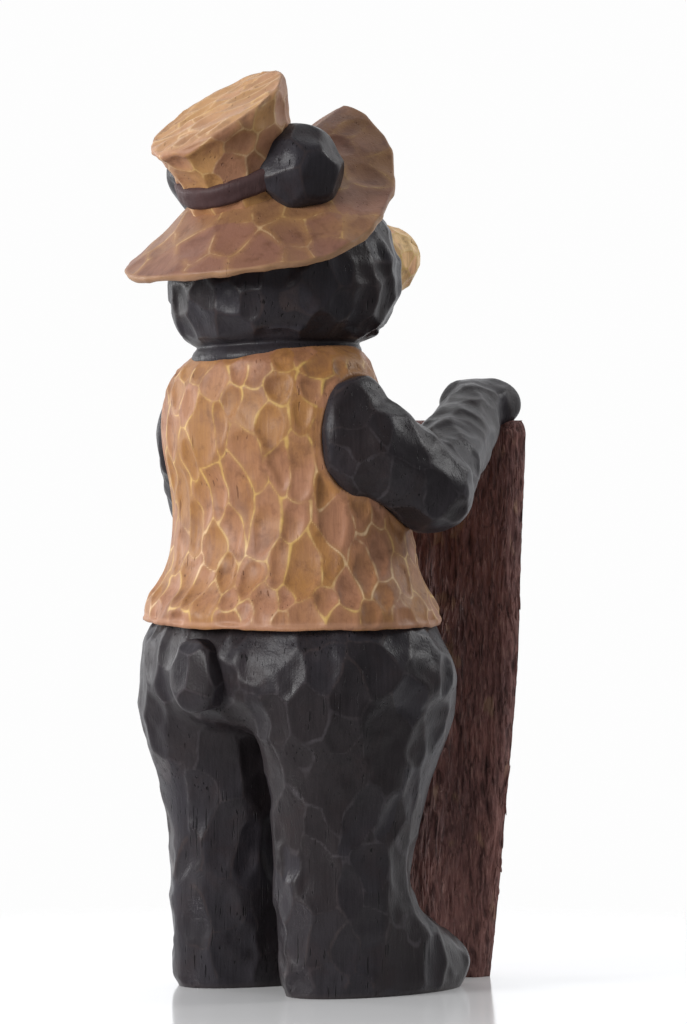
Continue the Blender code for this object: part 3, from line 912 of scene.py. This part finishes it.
def crownPoints(rise, radius, angle, slopeShare):
    # a ring round the hat's axis; toward the top it slopes down to the left and the back
    left = radius * np.cos(angle) + crownSizes["toLeft"]
    back = radius * np.sin(angle) + crownSizes["toBack"]
    slope = slopeShare * np.clip(rise / crownSizes["slopeFrom"], 0, 1) ** 2
    fall = slope * (crownSizes["slopeLeft"] * left + crownSizes["slopeBack"] * back)
    return hatPoint(left, back, rise - fall)


def makeCrown():
    sides = 280
    wall = evenlyAlong(crownProfile)(np.linspace(0, 1, 80)) * share
    inward = np.linspace(1, 0.01, 46)[1:]
    dome = crownSizes["topRise"] + crownSizes["dome"] * (1 - inward**2)
    table = np.concatenate([wall, np.stack([dome, crownSizes["topRadius"] * inward], -1)])
    angle = roundTurns(sides)[None]
    points = crownPoints(table[:, 0, None], table[:, 1, None], angle, 1.0).reshape(-1, 3)
    item = newObject("hatCrown", points, ringFaces(len(table) - 1, sides))
    row = np.repeat(np.arange(len(table)), sides)
    onTop = row >= len(wall)
    points, normals, height, ridge, shade = carve(item, crownCuts, zone=~onTop)
    lower = carve(item, crownTopCuts, zone=onTop)
    height, ridge, shade = (np.where(onTop, b, a) for a, b in zip((height, ridge, shade), lower[2:]))
    rimRow = 1 - fadeBetween(np.abs(row - len(wall) + 0.5), 0.5, 2.5)
    height = height * (1 - 0.7 * rimRow) + 0.0008 * softNoise(points, 0.018, 12) * rimRow
    writePoints(item, points + normals * height[:, None])
    # the crown's top and its rim edge are painted paler: painted highlight where the light from above falls
    writeValues(item, ridge=ridge, shade=shade, rim=np.maximum(rimRow * 0.6, onTop * 0.8))
    place(item, "bear", "bear", crownTanWithPaintedLight)


def makeBand():
    sides = 240
    table = evenlyAlong(bandProfile)(np.linspace(0, 1, 30)) * share
    angle = roundTurns(sides)[None]
    points = crownPoints(table[:, 0, None], table[:, 1, None], angle, 0.0).reshape(-1, 3)
    item = newObject("hatBand", points, ringFaces(len(table) - 1, sides))
    points, normals = readPoints(item)
    height = 0.0007 * softNoise(points, 0.016, 15) + 0.0004 * softNoise(points, 0.006, 16)
    points = points + normals * height[:, None]
    writePoints(item, points)
    writeValues(item, ridge=ridgeReach, shade=0.5 + 0.5 * softNoise(points, 0.03, 17), rim=0.0)
    place(item, "bear", "bear", bandBrown)


def brimSurface(along, angle):
    # along runs from the crown to the rim; the rim's table is joined to itself at the front
    keys = [brimRim[-1][0] - 360] + [row[0] for row in brimRim] + [brimRim[0][0] + 360]
    table = [brimRim[-1][1:]] + [row[1:] for row in brimRim] + [brimRim[0][1:]]
    turn = np.degrees((angle + math.pi) % (2 * math.pi) - math.pi)
    reach, rise = np.moveaxis(smoothThrough(keys, table, turn) * share, -1, 0)
    radius = brimSizes["innerRadius"] + (reach - brimSizes["innerRadius"]) * along
    return hatPoint(-radius * np.sin(angle), radius * np.cos(angle), rise * along ** brimSizes["curl"])


def makeBrim():
    rows, sides = ((45, 400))
    along, angle = np.meshgrid(np.linspace(0, 1, rows + 1), roundTurns(sides), indexing="ij")
    upper = brimSurface(np.maximum(along, 1e-4), angle)
    around = np.roll(upper, -1, axis=1) - np.roll(upper, 1, axis=1)
    outward = np.gradient(upper, axis=0)
    normal = np.cross(outward, around)
    normal /= np.linalg.norm(normal, axis=-1, keepdims=True)
    outward = outward / np.linalg.norm(outward, axis=-1, keepdims=True)
    thick = brimSizes["thickness"]
    lower = upper - normal * thick
    edge = []
    for k in range(1, brimSizes["edgeRows"]):
        t = k / brimSizes["edgeRows"]
        bulge = brimSizes["edgeBulge"] * math.sin(math.pi * t) ** 0.6
        edge.append(upper[-1] - normal[-1] * thick * t + outward[-1] * bulge)
    table = np.concatenate([lower, np.array(edge)[::-1], upper[::-1]])
    item = newObject("hatBrim", table.reshape(-1, 3), ringFaces(len(table) - 1, sides))
    row = np.repeat(np.arange(len(table)), sides)
    points, normals, height, ridge, shade = carve(item, brimCuts)
    middle = rows + 1 + (brimSizes["edgeRows"] - 2) / 2
    onEdge = 1 - fadeBetween(np.abs(row - middle), 2.5, 4.5)
    height += 0.0010 * softNoise(points, 0.014, 22) * onEdge + 0.0007 * softNoise(points, 0.03, 23)
    writePoints(item, points + normals * height[:, None])
    # the brim's edge is painted paler: painted highlight
    writeValues(item, ridge=np.where(onEdge > 0.5, ridgeReach, ridge), shade=shade, rim=onEdge * 0.8)
    place(item, "bear", "bear", hatTan)


makeCrown()
makeBand()
makeBrim()
print("hat made")


# Arms and paws

armCuts = {"across": 0.032, "along": 0.048, "turn": 40, "uneven": 0.35, "depth": 0.0011, "bowl": 0.0010,
           "wander": 0.0040, "bowlUneven": 0.5, "flat": 0.5, "rise": 0.0026, "soft": 0.0005, "tries": 6000}
armSizes = {"forearm": (0.038, 0.031), "wristShort": 0.14}


def makeArm(label, seed):
    arm = armJoints[label]
    start = arm["shoulder"] + (arm["elbow"] - arm["shoulder"]) * arm["begins"]
    wrist = arm["paw"] + (arm["elbow"] - arm["paw"]) * armSizes["wristShort"]
    forms = [
        loft(ballForm(arm["shoulder"], arm["shoulderRadii"]), 40, 60),
        loft(limbForm(start, arm["elbow"], *arm["upper"]), 50, 60),
        loft(limbForm(arm["elbow"], wrist, *armSizes["forearm"]), 50, 60),
        loft(ballForm(arm["paw"], pawRadii, arm["turn"]), 40, 60),
    ]
    item = fuse("bearArm" + label, forms, voxel * 0.9, 16)
    carvePlain(item, {**armCuts, "seed": seed}, blackWood)


makeArm("Right", 51)
makeArm("Left", 52)
print("arms made")


# Bark board

barkSizes = {"strand": 0.0016, "fibre": 0.0010, "lump": 0.0014, "broken": 0.0012}
slivers = {"Density": 6500.0, "Length": 0.034, "Width": 0.0048, "Thickness": 0.0030, "Seed": 6}


def boardHalfWidth(along):
    keys = [row[0] for row in boardGrowth]
    growth = smoothThrough(keys, [row[1:] for row in boardGrowth], np.asarray(along))[..., 0]
    return (boardFootWidth + (boardTopWidth - boardFootWidth) * growth) / 2


def boardSurface(along, angle):
    # a half log: flat in front, round behind, with a softened top
    height = boardHeight * along
    softEnd = np.clip((height - boardHeight + 1.4 * boardCorner) / (1.4 * boardCorner), 0, 1)
    shrink = boardCorner * 0.9 * (1 - np.sqrt(1 - 0.98 * softEnd**2))
    halfWidth = boardHalfWidth(along) - shrink
    front = boardFootFront + (boardTopFront - boardFootFront) * along
    roundSide = np.clip(np.sin(angle), 0, 1)
    swell = (boardThickness - boardEdge) * roundSide**1.6
    edge = boardEdge * np.minimum(1, roundSide * 4.0) ** 0.5
    y = front + edge + swell - shrink * (roundSide > 0.01)
    return np.stack([halfWidth * np.cos(angle), y, height], -1)


def barkFinish():
    made = Finish("barkPaint", Metallic=0.0, Specular_IOR_Level=0.3)
    spot = made.object()
    fibre = made.noise(made.mapped((1.0, 1.0, 0.14)), 420.0, 3.0, 0.65, 0.4)
    strand = made.noise(made.mapped((1.0, 1.0, 0.22)), 170.0, 4.0, 0.6, 0.7)
    cloud = made.noise(spot, 16.0, 4.0, 0.6)
    depth = made.value("depth")
    colour = made.mix(made.between(cloud, 0.35, 0.7), paint(120, 84, 80), paint(140, 96, 88))
    # darker in the strands' furrows and where the relief is low, paler on the raised fibres: painted shade
    # and painted highlight over the bark's red-brown
    colour = made.mix((1 - made.between(strand, 0.34, 0.52)) * 0.75, colour, paint(66, 43, 42))
    colour = made.mix(made.between(fibre, 0.50, 0.68) * 0.6, colour, paint(168, 128, 118))
    colour = made.mix((1 - made.between(depth, -0.7, 0.15)) * 0.75, colour, paint(42, 27, 27))
    bare = made.noise(made.mapped((1.0, 1.0, 0.5), (0.3, 0.1, 0.7)), 42.0, 2.0)
    bare = made.between(bare, 0.61, 0.70)
    colour = made.mix(bare * 0.6, colour, paint(168, 134, 108))
    made.drive("Base Color", colour)
    made.drive("Roughness", 0.68 + (cloud - 0.5) * 0.3)
    made.drive("Normal", made.bump(fibre * 0.5 + strand, 1.0, 0.0050))
    return made.material


barkPaint = barkFinish()


def makeBoard():
    rows, sides = ((215, 300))
    heights = np.concatenate([np.linspace(0, 0.965, rows, endpoint=False), np.linspace(0.965, 1, 22)])
    along, angle = np.meshgrid(heights, roundTurns(sides), indexing="ij")
    wall = boardSurface(along, angle)
    middle = wall[-1].mean(axis=0)
    top = [middle + (wall[-1] - middle) * inward for inward in np.linspace(1, 0.02, 14)[1:]]
    points = np.concatenate([wall, np.array(top)]).reshape(-1, 3)
    item = newObject("barkBoard", points, ringFaces(len(points) // sides - 1, sides))
    points, normals = readPoints(item)
    barked = fadeBetween(normals[:, 1], -0.55, 0.0) * fadeBetween(-normals[:, 2], -0.9, -0.6)
    sway = np.stack([softNoise(points, 0.05, 71), softNoise(points, 0.05, 72), np.zeros(len(points))], -1)
    bent = points + 0.006 * sway
    long = bent * np.array([1.0, 1.0, 0.10])
    strand = 1 - 2 * np.abs(softNoise(long, 0.0062, 62))
    fibre = 1 - 2 * np.abs(softNoise(long * np.array([1.0, 1.0, 1.6]), 0.0031, 64))
    lump = softNoise(points * np.array([1.0, 1.0, 0.5]), 0.022, 65)
    broken = softNoise(points * np.array([1.0, 1.0, 0.6]), 0.008, 66)
    relief = barkSizes["strand"] * strand + barkSizes["fibre"] * fibre + barkSizes["lump"] * lump
    relief = relief + barkSizes["broken"] * broken
    height = barked * (relief - 0.0006) + (1 - barked) * 0.0004 * softNoise(points, 0.005, 67)
    moved = points + normals * height[:, None]
    moved[:, 2] = np.clip(moved[:, 2], 0.0, boardHeight + 0.0015)
    moved[points[:, 2] < 0.001, 2] = 0.0
    writePoints(item, moved)
    # the relief's height, which the bark's paint turns darker where it is low: painted shade in the furrows
    depth = (strand * 0.5 + fibre * 0.3 + lump * 0.3 + broken * 0.4) * barked + (1 - barked) * 0.4
    clear = fadeBetween(points[:, 2], 0.014, 0.016) * (1 - fadeBetween(points[:, 2], 0.548, 0.55))
    writeValues(item, depth=depth, barked=barked * clear)  # no slivers grow at the foot and the top
    return item


def sliverTree():
    # splinters of bark, scattered over the barked side and lying along it
    tree = bpy.data.node_groups.new("barkSlivers", "GeometryNodeTree")
    tree.interface.new_socket("Board", in_out="INPUT", socket_type="NodeSocketGeometry")
    for name in ("Density", "Length", "Width", "Thickness"):
        tree.interface.new_socket(name, in_out="INPUT", socket_type="NodeSocketFloat")
    tree.interface.new_socket("Seed", in_out="INPUT", socket_type="NodeSocketInt")
    tree.interface.new_socket("Slivers", in_out="OUTPUT", socket_type="NodeSocketGeometry")
    made = Nodes(tree)
    given = {socket.name: Wire(made, socket) for socket in tree.nodes.new("NodeGroupInput").outputs}
    barked = made.node("GeometryNodeInputNamedAttribute", {"data_type": "FLOAT"}, {"Name": "barked"},
                       "Attribute")
    points = made.node("GeometryNodeDistributePointsOnFaces", None,
                       {"Mesh": given["Board"], "Selection": barked.sum("GREATER_THAN", barked, 0.9),
                        "Density": given["Density"], "Seed": given["Seed"]}, "Points")
    normal = Wire(made, points.socket.node.outputs["Normal"])
    outward = made.node("FunctionNodeAlignRotationToVector", {"axis": "Y"}, {"Vector": normal})
    upright = made.node("FunctionNodeAlignRotationToVector", {"axis": "Z", "pivot_axis": "Y"},
                        {"Rotation": outward, "Vector": (0, 0, 1)})
    sway = made.node("FunctionNodeRandomValue", {"data_type": "FLOAT"}, {2: -0.22, 3: 0.22, "Seed": 3}, 1)
    tip = made.node("FunctionNodeAxisAngleToRotation", None, {"Axis": (0, 1, 0), "Angle": sway})
    turned = made.node("FunctionNodeRotateRotation", {"rotation_space": "LOCAL"},
                       {"Rotation": upright, "Rotate By": tip})
    full = made.node("ShaderNodeCombineXYZ", None,
                     {"X": given["Width"] * 0.5, "Y": given["Thickness"] * 0.5, "Z": given["Length"] * 0.5})
    uneven = made.node("FunctionNodeRandomValue", {"data_type": "FLOAT_VECTOR"},
                       {0: (0.35, 0.4, 0.2), 1: (1.0, 1.0, 1.0), "Seed": 8}, 0)
    scale = made.node("ShaderNodeVectorMath", {"operation": "MULTIPLY"}, {0: full, 1: uneven})
    pebble = made.node("GeometryNodeMeshIcoSphere", None, {"Radius": 1.0, "Subdivisions": 2})
    laid = made.node("GeometryNodeInstanceOnPoints", None,
                     {"Points": points, "Instance": pebble, "Rotation": turned, "Scale": scale})
    real = made.node("GeometryNodeRealizeInstances", None, {"Geometry": laid})
    done = made.node("GeometryNodeSetMaterial", None, {"Geometry": real, "Material": barkPaint})
    tree.links.new(done.socket, tree.nodes.new("NodeGroupOutput").inputs["Slivers"])
    return tree


def grow(name, source, tree, values):
    # runs the tree on a mesh and keeps what it makes as a plain mesh
    item = bpy.data.objects.new(name, source.data)
    bpy.context.scene.collection.objects.link(item)
    maker = item.modifiers.new("grown", "NODES")
    maker.node_group = tree
    for socket in tree.interface.items_tree:
        if socket.in_out == "INPUT" and socket.name in values:
            maker[socket.identifier] = values[socket.name]
    mesh = bpy.data.meshes.new_from_object(item.evaluated_get(bpy.context.evaluated_depsgraph_get()))
    item.modifiers.clear()
    item.data = mesh
    mesh.shade_smooth()
    return item


board = makeBoard()
splinters = grow("barkSlivers", board, sliverTree(), slivers)
place(board, "bark", "bark_board", barkPaint)
place(splinters, "bark", "bark_board", barkPaint)
print("board made")


# Camera, as the photograph was taken

cameraSizes = {"distance": 5.5, "height": 0.55, "lens": 193.4, "aimSide": 0.0475, "aimHeight": 0.476}
towards = np.array([-math.sqrt(0.5), math.sqrt(0.5), 0.0])
across = np.array([-math.sqrt(0.5), -math.sqrt(0.5), 0.0])
cameraPlace = axisShift + towards * cameraSizes["distance"] + np.array([0, 0, cameraSizes["height"]])
aim = axisShift + across * cameraSizes["aimSide"] + np.array([0, 0, cameraSizes["aimHeight"]])


def lookFrom(item, start, target):
    item.location = Vector(start)
    item.rotation_euler = (Vector(target) - Vector(start)).to_track_quat("-Z", "Y").to_euler()


camera = bpy.data.objects.new("camera", bpy.data.cameras.new("camera"))
camera.data.sensor_width = 36.0
camera.data.lens = cameraSizes["lens"]
camera.data.clip_end = 100.0
bpy.context.scene.collection.objects.link(camera)
lookFrom(camera, cameraPlace, aim)
bpy.context.scene.camera = camera

# Studio: a pale floor that runs out into white, a large soft key from the left, and white behind

studio = {
    "lamps": {
        "key": {"place": (0.75, 3.75, 1.6), "size": 1.4, "power": 132, "aim": (0, 0, 0.5)},
        "leftEdge": {"place": (2.8, 0.8, 0.9), "size": 1.0, "power": 20, "aim": (0, 0, 0.5)},
        "rightEdge": {"place": (-1.6, -2.8, 2.4), "size": 1.0, "power": 34, "aim": (0, 0, 0.6)},
    },
    "bright": (0.70, -0.66, 0.28),
    "nearLight": 0.31,
    "farLight": 1.15,
    "background": 0.985,
    "floorRadius": 1.6,
    "floorGlow": 0.08,
    "floorFade": (0.32, 1.0),
}
for name, sizes in studio["lamps"].items():
    light = bpy.data.lights.new(name, "AREA")
    light.shape = "SQUARE"
    light.size = sizes["size"]
    light.energy = sizes["power"]
    lamp = bpy.data.objects.new(name, light)
    bpy.context.scene.collection.objects.link(lamp)
    lookFrom(lamp, sizes["place"], sizes["aim"])


def makeFloor():
    finish = Finish("floorWhite", Base_Color=(0.86, 0.86, 0.865, 1.0), Roughness=0.12,
                    Specular_IOR_Level=0.5, Emission_Color=(1.0, 1.0, 1.0, 1.0),
                    Emission_Strength=studio["floorGlow"])
    far = finish.node("ShaderNodeVectorMath", {"operation": "LENGTH"}, {0: finish.object()}, 1)
    clear = finish.node("ShaderNodeBsdfTransparent")
    gone = finish.between(far, *studio["floorFade"])
    solid = Wire(finish, finish.shader.outputs[0])
    mixed = finish.node("ShaderNodeMixShader", None, {0: gone, 1: solid, 2: clear})
    finish.tree.links.new(mixed.socket, finish.tree.nodes["Material Output"].inputs["Surface"])
    angle = roundTurns(96)
    ring = studio["floorRadius"] * np.stack([np.cos(angle), np.sin(angle), np.zeros(len(angle))], -1)
    item = newObject("studioFloor", ring, [list(range(len(ring)))])
    item.data.materials.append(finish.material)


def makeWorld():
    world = bpy.data.worlds.new("studioWhite")
    bpy.context.scene.world = world
    world.use_nodes = True
    sky = Nodes(world.node_tree)
    toward = sky.node("ShaderNodeTexCoord", output="Generated")
    facing = sky.node("ShaderNodeVectorMath", {"operation": "DOT_PRODUCT"},
                      {0: toward, 1: studio["bright"]}, "Value")
    near, far = studio["nearLight"], studio["farLight"]
    strength = sky.between(facing, 0.0, 0.95) * (far - near) + near
    lit = sky.node("ShaderNodeBackground", None, {"Color": (0.97, 0.98, 1.0, 1.0), "Strength": strength})
    shown = sky.node("ShaderNodeBackground", None,
                     {"Color": (1, 1, 1, 1), "Strength": studio["background"]})
    seen = sky.node("ShaderNodeLightPath", output="Is Camera Ray")
    both = sky.node("ShaderNodeMixShader", None, {0: seen, 1: lit, 2: shown})
    sky.tree.links.new(both.socket, sky.tree.nodes["World Output"].inputs["Surface"])


makeFloor()
makeWorld()
bpy.context.scene.view_settings.view_transform = "Standard"
print("studio made")
